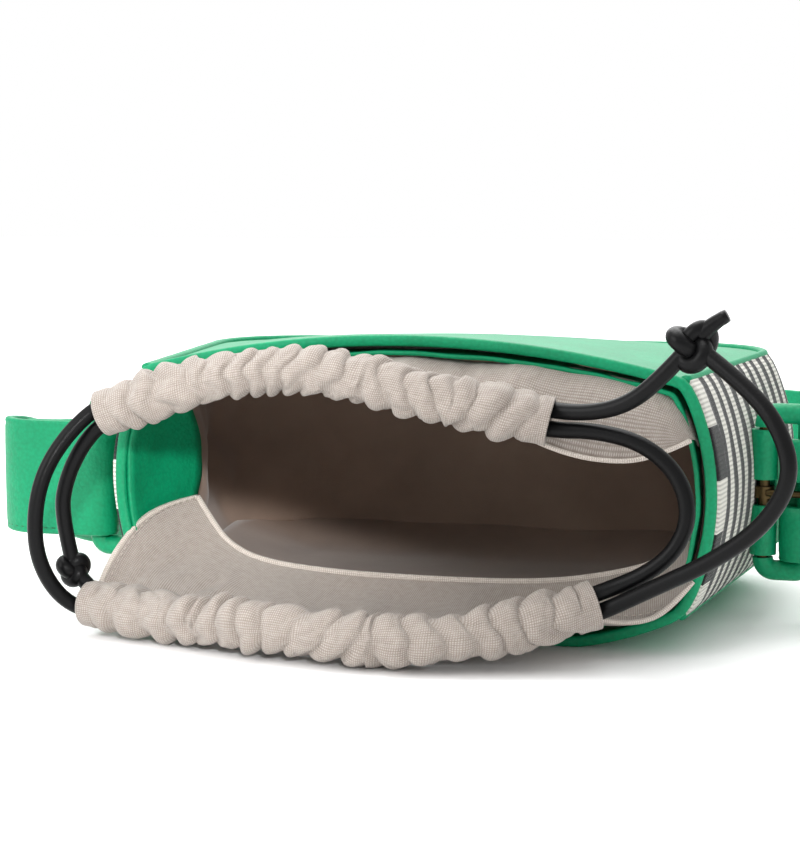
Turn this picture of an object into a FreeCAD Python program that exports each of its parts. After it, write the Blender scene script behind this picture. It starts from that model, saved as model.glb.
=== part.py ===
import FreeCAD, Part
import Sketcher
import math
import os

vec = FreeCAD.Vector
doc = FreeCAD.newDocument("DrawstringBag")
sizes = doc.addObject("Spreadsheet::Sheet", "sizes")

# Driving dimensions, in millimetres and degrees. The bag lies on its back panel:
# +X is its right side, +Y runs from the mouth to the base, +Z is towards the front panel.
DIMENSIONS = [
    ("bag_depth", 150, "mouth to base"),
    ("mouth_half_width", 92, "seam to centre at the mouth"),
    ("base_half_width", 112, "seam to centre at the base"),
    ("corner_radius", 35, "plan radius of the two base corners"),
    ("seam_height", 12, "back seam above the floor"),
    ("gusset_height", 76, "back seam to front seam"),
    ("gusset_bulge", 10, "how far the side band swells out"),
    ("mouth_crown", 12, "rise of the front panel at the mouth"),
    ("base_crown", 2, "rise of the front panel at the base"),
    ("back_curl", 45, "width of the turned-up edge of the back panel"),
    ("leather", 2.4, "outer leather and the side band"),
    ("board", 1.2, "stiffener board"),
    ("board_inset", 8, "front board and back lining, in from the seam"),
    ("lining_inset", 6, "front lining, in from the seam"),
    ("base_board_margin", 7, "base board, in from both seams"),
    ("cloth", 0.8, "lining and collar cloth"),
    ("layer_gap", 0.1, "between glued layers"),
    ("piping_diameter", 3.4, "piped seam"),
    ("seam_clearance", 0.3, "panel edge to the side band"),
    ("rim_band", 5, "binding round the mouth, seen from the front"),
    ("rim_depth", 2.5, "binding thickness along the bag"),
    ("facing_depth", 14, "leather facing inside the mouth"),
    ("facing", 1.6, "leather facing thickness"),
    ("collar_seam_depth", 6, "collar seam inside the mouth"),
    ("casing_diameter", 18, "gathered drawcord tunnel"),
    ("casing_wall", 2, "gathered cloth of the tunnel"),
    ("cord_diameter", 5, "rolled leather drawcord"),
    ("cord_spacing", 6.4, "between the two cords in one tunnel"),
    ("right_knot_diameter", 15, "overhand knot of the outer cord"),
    ("left_knot_diameter", 12, "ball knot of the inner cord"),
    ("knot_clearance", 0.4, "cord end to knot"),
    ("tail_length", 9, "free end beyond the right knot"),
    ("left_bar_y", -37, "left ring, place along the bag"),
    ("right_bar_y", -25, "right buckle, place along the bag"),
    ("ring_z", 46, "middle of both rings above the floor"),
    ("ring_width", 14.5, "bar to bar, centre lines"),
    ("rail_rise", 5.5, "rail centre line beyond the leather loop"),
    ("rail_corner", 4, "corner radius of both rings, centre line"),
    ("ring_wire", 4, "bare metal wire"),
    ("ring_cover_diameter", 7, "leather-covered rail"),
    ("tab_height", 43, "leather loop that holds a ring"),
    ("tab_wall", 2.2, "leather of the loop"),
    ("tab_length", 26, "sewn tail of the loop"),
    ("bar_clearance", 0.3, "loop to bar, all round"),
    ("prong_diameter", 2.4, "buckle prong"),
    ("prong_eye_wall", 1.5, "eye of the prong round the bar"),
    ("prong_slot", 9, "slot in the loop and strap for the prong"),
    ("strap_width", 42, "shoulder strap"),
    ("strap_thickness", 3.4, "two leathers sewn together"),
    ("strap_reach", 46, "right buckle to the strap's bend"),
    ("left_strap_reach", 39, "left ring to the strap's bend"),
    ("strap_leg", 240, "straight part beside and behind the bag"),
    ("strap_bend", 16, "radius of the bend beside each ring"),
    ("strap_fold", 12, "returned end sewn flat to the strap"),
    ("strap_drop", 23, "strap edge above the floor at the rings"),
    ("pivot_clearance", 2.2, "extra room in the right end loop"),
    ("keeper_width", 8, "leather keeper round the strap"),
    ("keeper_wall", 1.6, "leather of the keeper"),
    ("keeper_clearance", 0.3, "keeper to the strap"),
]
for row, (alias, value, note) in enumerate(DIMENSIONS, 1):
    sizes.set(f"A{row}", note)
    sizes.set(f"B{row}", str(value))
    sizes.setAlias(f"B{row}", alias)
doc.recompute()


def size(alias):
    return float(sizes.get(alias))


mouth_y = -size("bag_depth") / 2
base_y = size("bag_depth") / 2
mouth_half = size("mouth_half_width")
base_half = size("base_half_width")
front_seam = size("seam_height") + size("gusset_height")
back_seam = size("seam_height")
middle_z = back_seam + size("gusset_height") / 2
slant = math.atan((base_half - mouth_half) / size("bag_depth"))
leather = size("leather")
cloth = size("cloth")
board = size("board")
gap = size("layer_gap")
facing = size("facing")
cord_r = size("cord_diameter") / 2
nodes = {}


def keep(name, shape):
    """Stores a finished shape as a sub-part with its own label."""
    feature = doc.addObject("Part::Feature", name)
    feature.Label = name
    feature.Shape = shape.removeSplitter()
    nodes[name] = feature
    return feature


def bound(kind, name, formulas, placement=None):
    """One of FreeCAD's own solids, its sizes bound to the sheet."""
    thing = doc.addObject(kind, name)
    thing.Label = name
    if placement:
        thing.Placement = placement
    for item, formula in formulas.items():
        thing.setExpression(item, formula)
    return thing


def combined(kind, name, base, tool):
    """Part::Fuse or Part::Cut of two objects, without the seams between their faces."""
    thing = doc.addObject(kind, name)
    thing.Label = name
    thing.Base, thing.Tool = base, tool
    thing.Refine = True
    return thing


def standing(x, y, z, turn=0):
    """Placement at a point, turned about the vertical."""
    return FreeCAD.Placement(vec(x, y, z), FreeCAD.Rotation(vec(0, 0, 1), turn))


# ---------------------------------------------------------------- paths and sweeps

def rounded_path(points, radii=None, share=0.45):
    """Straight runs joined by tangent arcs: returns the edges and the arc radii."""
    points = [vec(*p) for p in points]
    edges, used, start = [], [], points[0]
    for i in range(1, len(points) - 1):
        before, corner, after = points[i - 1], points[i], points[i + 1]
        run_in, run_out = corner - before, after - corner
        into, out = vec(run_in).normalize(), vec(run_out).normalize()
        half_turn = into.getAngle(out) / 2
        radius = share * min(run_in.Length, run_out.Length) / math.tan(half_turn)
        if radii:
            radius = radii[i - 1]
        reach = radius * math.tan(half_turn)
        first, last = corner - into * reach, corner + out * reach
        inward = (out - into).normalize()
        middle = corner + inward * (radius / math.cos(half_turn) - radius)
        edges.append(Part.LineSegment(start, first).toShape())
        edges.append(Part.Arc(first, middle, last).toShape())
        used.append(radius)
        start = last
    edges.append(Part.LineSegment(start, points[-1]).toShape())
    return edges, used


def tube(points, radius, bore=0, radii=None):
    """Round tube along a path; compares its volume with section times length."""
    edges, used = rounded_path(points, radii)
    path = Part.Wire(edges)
    start, heading = vec(*points[0]), vec(*points[1]) - vec(*points[0])

    def sweep(r):
        ring = Part.Wire([Part.Circle(start, heading, r).toShape()])
        return path.makePipeShell([ring], True, True)

    solid = sweep(radius)
    expected = math.pi * radius ** 2 * path.Length
    if bore:
        solid = solid.cut(sweep(bore))
        expected -= math.pi * bore ** 2 * path.Length
    if abs(solid.Volume - expected) > 0.02 * expected:
        raise RuntimeError(f"sweep volume {solid.Volume:.0f} against {expected:.0f}")
    return solid, used, path.Length


def shifted(points, dx=0, dy=0, dz=0):
    return [(p[0] + dx, p[1] + dy, p[2] + dz) for p in points]


# ---------------------------------------------------------------- the bag's outline

def plan_points(inset, front_y=mouth_y):
    """Corners of the plan outline, moved inwards by the inset."""
    deep_y = base_y - inset

    def half(y):
        return mouth_half + (y - mouth_y) * math.tan(slant) - inset / math.cos(slant)

    return [(-half(front_y), front_y), (-half(deep_y), deep_y),
            (half(deep_y), deep_y), (half(front_y), front_y)]


def plan_edges(inset, z, front_y=mouth_y):
    radius = max(size("corner_radius") - inset, 3)
    points = [(x, y, z) for x, y in plan_points(inset, front_y)]
    return rounded_path(points, [radius, radius])[0], points


def plan_wire(inset, z, front_y=mouth_y):
    edges, points = plan_edges(inset, z, front_y)
    closing = Part.LineSegment(vec(*points[-1]), vec(*points[0])).toShape()
    return Part.Wire(edges + [closing])


def plan_prism(inset, front_y, back_y):
    """Vertical block inside the outline, cut off between two depths."""
    block = Part.Face(plan_wire(inset, -10, mouth_y - 5)).extrude(vec(0, 0, 130))
    slab = Part.makeBox(4 * base_half, back_y - front_y, 130, vec(-2 * base_half, front_y, -10))
    return block.common(slab)


def stacked(levels, front_y=mouth_y):
    """Block through a stack of outlines, each a height and an inset."""
    return Part.makeLoft([plan_wire(inset, z, front_y) for z, inset in levels], True, True)


# ---------------------------------------------------------------- panels, boards, linings

def crown_block(drop):
    """Everything under the front panel's surface, lowered by the drop."""
    sections = []
    for y, half, crown in ((mouth_y - 5, mouth_half, size("mouth_crown")),
                           (base_y + 5, base_half, size("base_crown"))):
        edge, top, low = front_seam - drop, front_seam + crown - drop, middle_z
        arc = Part.Arc(vec(-half, y, edge), vec(0, y, top), vec(half, y, edge)).toShape()
        skirt = 12
        sections.append(Part.Wire([
            Part.LineSegment(vec(-half - skirt, y, low), vec(-half - skirt, y, edge)).toShape(),
            Part.LineSegment(vec(-half - skirt, y, edge), vec(-half, y, edge)).toShape(),
            arc,
            Part.LineSegment(vec(half, y, edge), vec(half + skirt, y, edge)).toShape(),
            Part.LineSegment(vec(half + skirt, y, edge), vec(half + skirt, y, low)).toShape(),
            Part.LineSegment(vec(half + skirt, y, low), vec(-half - skirt, y, low)).toShape(),
        ]))
    return Part.makeLoft(sections, True, True)


def crown_plate(drop, thickness, inset, front_y, back_y):
    plate = crown_block(drop).cut(crown_block(drop + thickness))
    return plate.common(plan_prism(inset, front_y, back_y))


def tray_block(lift):
    curl = size("back_curl")
    return stacked([(lift, curl), (lift + back_seam / 3, curl / 3), (lift + back_seam, 0),
                    (lift + middle_z, 0)], mouth_y - 5)


def tray_plate(lift, thickness, inset, front_y, back_y):
    plate = tray_block(lift).cut(tray_block(lift + thickness))
    edge_room = Part.makeBox(4 * base_half, 4 * base_half, lift + thickness + back_seam,
                             vec(-2 * base_half, -2 * base_half, 0))
    return plate.common(plan_prism(inset, front_y, back_y)).common(edge_room)


def band(levels, thickness, front_y):
    """Side band: runs down one side, round the base and up the other side."""
    outer = stacked(levels, front_y)
    inner = stacked([(z, inset + thickness) for z, inset in levels], front_y - 5)
    return outer.cut(inner)


piping_r = size("piping_diameter") / 2
panel_inset = leather + size("seam_clearance")
bulge = size("gusset_bulge")
band_low = back_seam + piping_r + gap
band_high = front_seam - piping_r - gap
quarter = (band_high - band_low) / 4
lined_y = mouth_y + size("facing_depth") + 5 * gap

keep("front_panel", crown_plate(0, leather, panel_inset, mouth_y, base_y))
keep("back_panel", tray_plate(0, leather, panel_inset, mouth_y, base_y))
keep("side_gusset", band([(band_low, 0), (band_low + quarter, -0.75 * bulge),
                          (middle_z, -bulge), (band_high - quarter, -0.75 * bulge),
                          (band_high, 0)], leather, mouth_y))

board_drop = leather + gap
lining_drop = board_drop + board + gap
board_inset, lining_inset = size("board_inset"), size("lining_inset")
keep("front_board", crown_plate(board_drop, board, board_inset, lined_y, base_y))
keep("front_lining", crown_plate(lining_drop, cloth, lining_inset, lined_y, base_y))
# The stiffener of the back panel is one flat board: a sketch of its outline and a pad.
back_board = doc.addObject("PartDesign::Body", "back_board")
floor_plane = [o for o in back_board.Origin.OriginFeatures if o.Role == "XY_Plane"][0]
outline = back_board.newObject("Sketcher::SketchObject", "back_board_outline")
outline.AttachmentSupport = [(floor_plane, "")]
outline.MapMode = "FlatFace"
corners = [vec(x, y, 0) for x, y in plan_points(size("back_curl") + 1, lined_y)]
for i, corner in enumerate(corners):
    outline.addGeometry(Part.LineSegment(corner, corners[(i + 1) % 4]))
    outline.addConstraint(Sketcher.Constraint("Block", i))
back_pad = back_board.newObject("PartDesign::Pad", "back_board_pad")
back_pad.Profile = outline
back_pad.setExpression("Length", "sizes.board")
back_board.setExpression("Placement.Base.z", "sizes.leather + sizes.layer_gap")
back_board.Label = "back_board"
nodes["back_board"] = back_board
keep("back_lining", tray_plate(lining_drop, cloth, board_inset, lined_y, base_y))
wall_inset = lining_inset - cloth - gap
keep("side_lining", band([(back_seam + leather + cloth, wall_inset),
                          (front_seam - lining_drop - leather - cloth, wall_inset)],
                         cloth, lined_y))
base_flat = "(sizes.base_half_width - sizes.corner_radius - sizes.lining_inset)"
nodes["base_board"] = bound("Part::Box", "base_board", {
    "Length": f"2 * {base_flat}",
    "Width": "sizes.board",
    "Height": "sizes.gusset_height - 2 * sizes.base_board_margin",
    "Placement.Base.x": f"-{base_flat}",
    "Placement.Base.y": "sizes.bag_depth / 2 - sizes.lining_inset + sizes.cloth"
                        " + 2 * sizes.layer_gap",
    "Placement.Base.z": "sizes.seam_height + sizes.base_board_margin"})

# Piped seams along both edges of the side band.
for name, z in (("front_piping", front_seam), ("back_piping", back_seam)):
    corner = size("corner_radius")
    seam = [(x, y, z) for x, y in plan_points(0)]
    keep(name, tube(seam, piping_r, radii=[corner, corner])[0])


# ---------------------------------------------------------------- mouth: bindings and facings

def mouth_outline(offset, y):
    """Outline of the bag's mouth, moved outwards by the offset."""
    third, curl = back_seam / 3, size("back_curl")
    right = [(mouth_half, front_seam), (mouth_half + 0.75 * bulge, band_high - quarter),
             (mouth_half + bulge, middle_z), (mouth_half + 0.75 * bulge, band_low + quarter),
             (mouth_half, back_seam), (mouth_half - curl / 3, third), (mouth_half - curl, 0)]
    points = [vec(x, 0, z) for x, z in right] + [vec(-x, 0, z) for x, z in reversed(right)]
    edges = [Part.LineSegment(a, b).toShape() for a, b in zip(points, points[1:])]
    edges.append(Part.Arc(points[-1], vec(0, 0, front_seam + size("mouth_crown")),
                          points[0]).toShape())
    wire = Part.Wire(edges)
    if offset:
        wire = wire.makeOffset2D(offset, 2)
    wire.translate(vec(0, y, 0))
    return wire


def mouth_ring(outer, inner, y, depth):
    outside = Part.Face(mouth_outline(outer, y)).extrude(vec(0, depth, 0))
    return outside.cut(Part.Face(mouth_outline(inner, y)).extrude(vec(0, depth, 0)))


def ring_quarter(ring, side):
    """The front, back, left or right stretch of a ring round the mouth."""
    wide, tall, split = 4 * base_half, 200, gap
    high, low = front_seam - 4, back_seam + 2
    boxes = {
        "front": Part.makeBox(wide, 200, tall, vec(-wide / 2, -150, high)),
        "back": Part.makeBox(wide, 200, tall, vec(-wide / 2, -150, low - tall)),
        "right": Part.makeBox(wide, 200, high - low - 2 * split, vec(0, -150, low + split)),
        "left": Part.makeBox(wide, 200, high - low - 2 * split, vec(-wide, -150, low + split)),
    }
    return ring.common(boxes[side])


rim_depth = size("rim_depth")
rim_ring = mouth_ring(1, 1 - size("rim_band"), mouth_y - rim_depth - 3 * gap, rim_depth)
facing_set = leather + size("seam_clearance") + 3 * gap
facing_ring = mouth_ring(-facing_set, -facing_set - facing, mouth_y, size("facing_depth"))
floor_cut = Part.makeBox(4 * base_half, 200, 20, vec(-2 * base_half, -150, -20))
for side in ("front", "back", "left", "right"):
    keep(f"{side}_rim_binding", ring_quarter(rim_ring, side).cut(floor_cut))
    if side != "front":
        keep(f"{side}_facing", ring_quarter(facing_ring, side))
keep("front_facing", crown_plate(board_drop, facing, lining_inset + 1, mouth_y,
                                  mouth_y + size("facing_depth")))

# ---------------------------------------------------------------- collar: two flaps, two tunnels

# Everything in front of the bag is placed from the middle of the mouth.
def keep_at_mouth(name, shape):
    shape.translate(vec(0, mouth_y, 0))
    return keep(name, shape)


seam_depth = size("collar_seam_depth")
casing_r = size("casing_diameter") / 2
casing_bore = casing_r - size("casing_wall")
FRONT_CASING = [(-97.8, -22, 75.6), (-67.5, -22, 85.4), (-33, -22, 91.2), (-1.6, -26, 87),
                (28, -28, 81.7), (52.7, -26, 77)]
BACK_CASING = [(-102.8, -24, 10.2), (-75, -33, 9.6), (-36, -44, 10.6), (8, -50, 9.6),
               (42, -43, 12), (68.2, -32, 20)]
keep_at_mouth("front_casing", tube(FRONT_CASING, casing_r, casing_bore)[0])
keep_at_mouth("back_casing", tube(BACK_CASING, casing_r, casing_bore)[0])


def flap(inner_points, outer_points):
    """Cloth between its seam inside the mouth and its tunnel, as a thin ruled strip."""
    rails = []
    for points in (inner_points, outer_points):
        curve = Part.BSplineCurve()
        curve.interpolate([vec(*p) for p in points])
        rails.append(curve.toShape())
    return Part.makeRuledSurface(*rails).extrude(vec(0, 0, -cloth))


tunnel_back = casing_r + 1
inner_front = [(-76, seam_depth, 86), (-40, seam_depth, 93), (0, seam_depth, 94.5),
               (40, seam_depth, 92.5), (78, seam_depth, 85.5)]
inner_back = [(-72, seam_depth, 18), (-42, seam_depth, 8.5), (0, seam_depth, 6.8),
              (42, seam_depth, 7.5), (74, seam_depth, 12)]
keep_at_mouth("front_collar", flap(inner_front, shifted(FRONT_CASING, dy=tunnel_back)))
keep_at_mouth("back_collar", flap(inner_back, shifted(BACK_CASING, dy=tunnel_back)))

# ---------------------------------------------------------------- drawcords

spread = size("cord_spacing") / 2
cord_a_front = shifted(FRONT_CASING, dz=spread)
cord_b_front = shifted(FRONT_CASING, dz=-spread)
cord_a_back = shifted(BACK_CASING, dz=-spread)
cord_b_back = shifted(BACK_CASING, dz=spread)
RIGHT_KNOT, LEFT_KNOT = (98.5, -36, 102), (-110, -22.5, 21.5)
right_r, left_r = size("right_knot_diameter") / 2, size("left_knot_diameter") / 2


def beside(knot, radius, approach):
    """End of a cord that comes from the approach point and stops at a knot's skin."""
    way = (vec(*knot) - vec(*approach)).normalize()
    return tuple(vec(*knot) - way * (radius + size("knot_clearance")))


CORDS = {
    "outer_cord_front": cord_a_front,
    "outer_cord_back": cord_a_back,
    "outer_cord_left_loop": [cord_a_front[0], (-108, -28, 69), (-115, -34, 56), (-117.6, -36.5, 41),
                             (-116.5, -36.5, 26), (-111, -31.5, 13), cord_a_back[0]],
    "outer_cord_upper": [cord_a_front[-1], (65, -30, 79.9), (77, -33.5, 82.5), (87, -36, 89.5),
                         beside(RIGHT_KNOT, right_r, (87, -36, 89.5))],
    "outer_cord_lower": [beside(RIGHT_KNOT, right_r, (115, -44, 91)), (115, -44, 91),
                         (125.5, -50, 80), (130, -52, 65.5), (122, -50, 50.5), (107, -45.5, 38.5),
                         (88, -39, 28), cord_a_back[-1]],
    "inner_cord_front": cord_b_front,
    "inner_cord_right_loop": [cord_b_front[-1], (68, -27, 74.3), (83.5, -29.5, 71),
                              (95, -32, 61.5), (98.5, -33.5, 47.5), (90, -34, 33.5),
                              cord_b_back[-1]],
    "inner_cord_upper": [cord_b_front[0], (-105.5, -23.5, 64), (-111.5, -24, 52), (-113.5, -24, 40),
                         beside(LEFT_KNOT, left_r, (-113.5, -24, 40))],
    "inner_cord_back": [beside(LEFT_KNOT, left_r, (-101, -24.8, 13.2)), (-101, -24.8, 13.2),
                        (-90, -28.5, 12.9), (-75, -33, 12.8)] + cord_b_back[2:],
}
for name, route in CORDS.items():
    solid, radii, length = tube(route, cord_r)
    keep_at_mouth(name, solid)
    print(name, f"length {length:.0f}", "radii", [round(r) for r in radii])

# Knots: a ball for the inner cord, a ball with the cord's free end for the outer one.
tail_turn = FreeCAD.Rotation(vec(0, 0, 1), vec(0.62, 0, 0.78))
right_place = FreeCAD.Placement(vec(*RIGHT_KNOT) + vec(0, mouth_y, 0), tail_turn)
tail_place = right_place * FreeCAD.Placement(vec(0, 0, right_r - 1), FreeCAD.Rotation())
ball = bound("Part::Sphere", "right_knot_ball", {"Radius": "sizes.right_knot_diameter / 2"},
             right_place)
tail = bound("Part::Cylinder", "right_knot_tail",
             {"Radius": "sizes.cord_diameter / 2", "Height": "sizes.tail_length"}, tail_place)
nodes["right_knot"] = combined("Part::Fuse", "right_knot", ball, tail)
nodes["left_knot"] = bound("Part::Sphere", "left_knot", {"Radius": "sizes.left_knot_diameter / 2"},
                           FreeCAD.Placement(vec(*LEFT_KNOT) + vec(0, mouth_y, 0),
                                             FreeCAD.Rotation()))

# ---------------------------------------------------------------- rings, tabs and strap

ring_z = size("ring_z")
ring_width = size("ring_width")
ring_height = size("tab_height") + 2 * size("rail_rise")
wire_r, cover_r = size("ring_wire") / 2, size("ring_cover_diameter") / 2
tab_bore = wire_r + size("bar_clearance")
tab_r = tab_bore + size("tab_wall")
tab_height = size("tab_height")
rail_corner = size("rail_corner")
SIDES = {"left": (-1, size("left_bar_y"), "left_ring"),
         "right": (1, size("right_bar_y"), "right_buckle")}


def bar_x(bar_y):
    """Inner bar's distance from the centre: just clear of the swollen side band."""
    skin = mouth_half + (bar_y - mouth_y) * math.tan(slant) + bulge / math.cos(slant)
    return skin + tab_r + 3 * gap


def upright(r, x, y, z, height):
    return Part.makeCylinder(r, height, vec(x, y, z))


def ring_core(hand, x, y):
    """Closed wire rectangle, swept as an upper and a lower half."""
    half = ring_height / 2
    halves = []
    for rise in (half, -half):
        route = [(hand * x, y, ring_z), (hand * x, y, ring_z + rise),
                 (hand * (x + ring_width), y, ring_z + rise), (hand * (x + ring_width), y, ring_z)]
        halves.append(tube(route, wire_r, radii=[rail_corner, rail_corner])[0])
    return halves[0].fuse(halves[1])


def ring_cover(hand, x, y):
    """Leather round the two rails and the outer bar, open where the tab holds the wire."""
    half, reach = ring_height / 2, tab_height / 2 + 1
    route = [(x, reach), (x, half), (x + ring_width, half), (x + ring_width, -half), (x, -half),
             (x, -reach)]
    route = [(hand * px, y, ring_z + pz) for px, pz in route]
    return tube(route, cover_r, wire_r + gap / 2, radii=[rail_corner] * 4)[0]


def tab_loop(side, hand, x, y):
    """Leather strip folded round the inner bar, its tail sewn along the side band."""
    low = ring_z - tab_height / 2
    bar = "sizes.ring_wire / 2 + sizes.bar_clearance"
    roll = bound("Part::Cylinder", f"{side}_tab_roll",
                 {"Radius": f"{bar} + sizes.tab_wall", "Height": "sizes.tab_height"},
                 standing(hand * x, y, low))
    wall = size("tab_wall")
    lean = standing(hand * (x - tab_r + wall + gap), y, low, -hand * math.degrees(slant))
    tail = bound("Part::Box", f"{side}_tab_tail",
                 {"Length": "2 * sizes.tab_wall", "Width": "sizes.tab_length",
                  "Height": "sizes.tab_height"},
                 lean * standing(-wall, 0, 0))
    bore = bound("Part::Cylinder", f"{side}_tab_bore",
                 {"Radius": bar, "Height": "sizes.tab_height"}, standing(hand * x, y, low))
    loop = combined("Part::Fuse", f"{side}_tab_loop", roll, tail)
    if side == "left":
        return combined("Part::Cut", "left_tab", loop, bore)
    # The right loop is slotted for the prong, which lifts away to the front.
    loop = combined("Part::Cut", "right_tab_bored", loop, bore)
    low = ring_z - slot / 2
    skin = bound("Part::Cylinder", "prong_slot_inside",
                 {"Radius": f"{bar} + sizes.tab_wall - 0.5", "Height": "sizes.prong_slot"},
                 standing(x, y, low))
    outer = bound("Part::Box", "prong_slot_outer",
                  {"Length": f"2 * ({bar} + sizes.tab_wall)",
                   "Width": f"2 * ({bar} + sizes.tab_wall)", "Height": "sizes.prong_slot"},
                  standing(x, y - 2 * tab_r + 2, low))
    front = bound("Part::Box", "prong_slot_front",
                  {"Length": f"4 * ({bar} + sizes.tab_wall)",
                   "Width": f"2 * ({bar} + sizes.tab_wall)", "Height": "sizes.prong_slot"},
                  standing(x - 2 * tab_r, y - 2 * tab_r, low))
    loop = combined("Part::Cut", "right_tab_hollowed", loop, skin)
    loop = combined("Part::Cut", "right_tab_opened", loop, outer)
    return combined("Part::Cut", "right_tab", loop, front)


slot = size("prong_slot")
for side, (hand, y, ring_name) in SIDES.items():
    x = bar_x(y)
    keep(f"{ring_name}_wire", ring_core(hand, x, y))
    keep(f"{ring_name}_cover", ring_cover(hand, x, y))
    nodes[f"{side}_tab"] = tab_loop(side, hand, x, y)

# Prong: an eye on the buckle's inner bar and a pin that rests over the outer bar.
prong_x, prong_y = bar_x(size("right_bar_y")), size("right_bar_y")
prong_r = size("prong_diameter") / 2
eye = bound("Part::Cylinder", "prong_eye",
            {"Radius": "sizes.ring_wire / 2 + sizes.prong_eye_wall", "Height": "sizes.ring_wire"},
            standing(prong_x, prong_y, ring_z - wire_r))
pin_start = vec(prong_x + 1, prong_y - wire_r - 0.9, ring_z)
pin_end = vec(prong_x + ring_width + 3, prong_y - cover_r - prong_r - 0.7, ring_z)
pin = bound("Part::Cylinder", "prong_pin", {"Radius": "sizes.prong_diameter / 2"},
            FreeCAD.Placement(pin_start, FreeCAD.Rotation(vec(0, 0, 1), pin_end - pin_start)))
pin.Height = (pin_end - pin_start).Length
eye_bore = bound("Part::Cylinder", "prong_eye_bore",
                 {"Radius": "sizes.ring_wire / 2 + sizes.layer_gap / 2",
                  "Height": "2.5 * sizes.ring_wire"},
                 standing(prong_x, prong_y, ring_z - 2.5 * wire_r))
nodes["buckle_prong"] = combined("Part::Cut", "buckle_prong",
                                 combined("Part::Fuse", "prong_body", eye, pin), eye_bore)

# Shoulder strap: stands on edge, leaves both rings outwards, bends back beside the bag,
# comes down to the floor and joins in a half circle behind the base.
strap_t, strap_w = size("strap_thickness"), size("strap_width")
loop_bore = cover_r + size("bar_clearance")
loop_mid = loop_bore + strap_t / 2
fold, fold_start = size("strap_fold"), 15
left_x = -bar_x(size("left_bar_y")) - ring_width
right_x = bar_x(size("right_bar_y")) + ring_width
left_y, right_y = size("left_bar_y"), size("right_bar_y")
left_bend, right_bend = left_x - size("left_strap_reach"), right_x + size("strap_reach")
half_circle = (right_bend - left_bend) / 2 - 0.5
far_y = size("strap_leg") + half_circle
strap_top = size("strap_drop") + strap_w


def strap_strip(points, radii):
    path = Part.Wire(rounded_path([(px, py, 0) for px, py in points], radii)[0])
    px, py = points[0]
    corners = [vec(px, py - strap_t / 2, 0), vec(px, py + strap_t / 2, 0),
               vec(px, py + strap_t / 2, strap_top), vec(px, py - strap_t / 2, strap_top)]
    section = Part.makePolygon(corners + [corners[0]])
    return path.makePipeShell([section], True, True)


def strap_end(hand, x, y, stretch):
    """Loop round the outer bar with its returned end against the strap."""
    loop = upright(loop_bore + strap_t, x, y, 0, strap_top)
    hole = upright(loop_bore, x, y, 0, strap_top)
    if stretch:
        loop = loop.fuse(upright(loop_bore + strap_t, x - stretch, y, 0, strap_top))
        loop = loop.fuse(Part.makeBox(stretch, 2 * (loop_bore + strap_t), strap_top,
                                      vec(x - stretch, y - loop_bore - strap_t, 0)))
        hole = hole.fuse(upright(loop_bore, x - stretch, y, 0, strap_top))
        hole = hole.fuse(Part.makeBox(stretch, 2 * loop_bore, strap_top,
                                      vec(x - stretch, y - loop_bore, 0)))
    returned = strap_strip([(x, y + loop_mid), (x + hand * 5, y + loop_mid),
                            (x + hand * fold_start, y - loop_mid + strap_t),
                            (x + hand * (fold_start + fold), y - loop_mid + strap_t)], [8, 8])
    return loop, hole, returned


strap = strap_strip([(left_x, left_y - loop_mid), (left_bend, left_y - loop_mid),
                     (left_bend, far_y), (right_bend, far_y),
                     (right_bend, right_y - loop_mid), (right_x, right_y - loop_mid)],
                    [size("strap_bend"), half_circle, half_circle, size("strap_bend")])
holes = []
for hand, x, y, stretch in ((-1, left_x, left_y, 0),
                            (1, right_x, right_y, size("pivot_clearance"))):
    loop, hole, returned = strap_end(hand, x, y, stretch)
    strap = strap.fuse(loop).fuse(returned)
    holes.append(hole)
for hole in holes:
    strap = strap.cut(hole)
level_y, floor_y = right_y + loop_mid + 12, base_y
profile = [(left_y - 40, size("strap_drop")), (level_y, size("strap_drop")), (floor_y, gap),
           (far_y + 40, gap), (far_y + 40, strap_w + gap), (floor_y, strap_w + gap),
           (level_y, strap_top), (left_y - 40, strap_top)]
reach_x = 2 * right_bend
side_view = Part.makePolygon([vec(-reach_x, py, pz) for py, pz in profile + [profile[0]]])
strap = strap.common(Part.Face(side_view).extrude(vec(2 * reach_x, 0, 0)))
slot_box = Part.makeBox(22, loop_mid + strap_t + 3, slot,
                        vec(right_x - 12, right_y - loop_mid - strap_t - 3, ring_z - slot / 2))
keep("strap", strap.cut(slot_box))

# Keeper: a leather sleeve round the strap and its returned end, beside the buckle.
room, wall = size("keeper_clearance"), size("keeper_wall")
sleeve_x = right_x + fold_start + (fold - size("keeper_width")) / 2
front_face = right_y - loop_mid - strap_t / 2 - room
thick = "2 * sizes.strap_thickness + 2 * sizes.keeper_clearance"
tall = "sizes.strap_width + 2 * sizes.keeper_clearance"
sleeve = bound("Part::Box", "keeper_sleeve",
               {"Length": "sizes.keeper_width", "Width": f"{thick} + 2 * sizes.keeper_wall",
                "Height": f"{tall} + 2 * sizes.keeper_wall"},
               standing(sleeve_x, front_face - wall, size("strap_drop") - room - wall))
hollow = bound("Part::Box", "keeper_hollow",
               {"Length": "sizes.keeper_width", "Width": thick, "Height": tall},
               standing(sleeve_x, front_face, size("strap_drop") - room))
nodes["strap_keeper"] = combined("Part::Cut", "strap_keeper", sleeve, hollow)

# ---------------------------------------------------------------- checks and export

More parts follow.
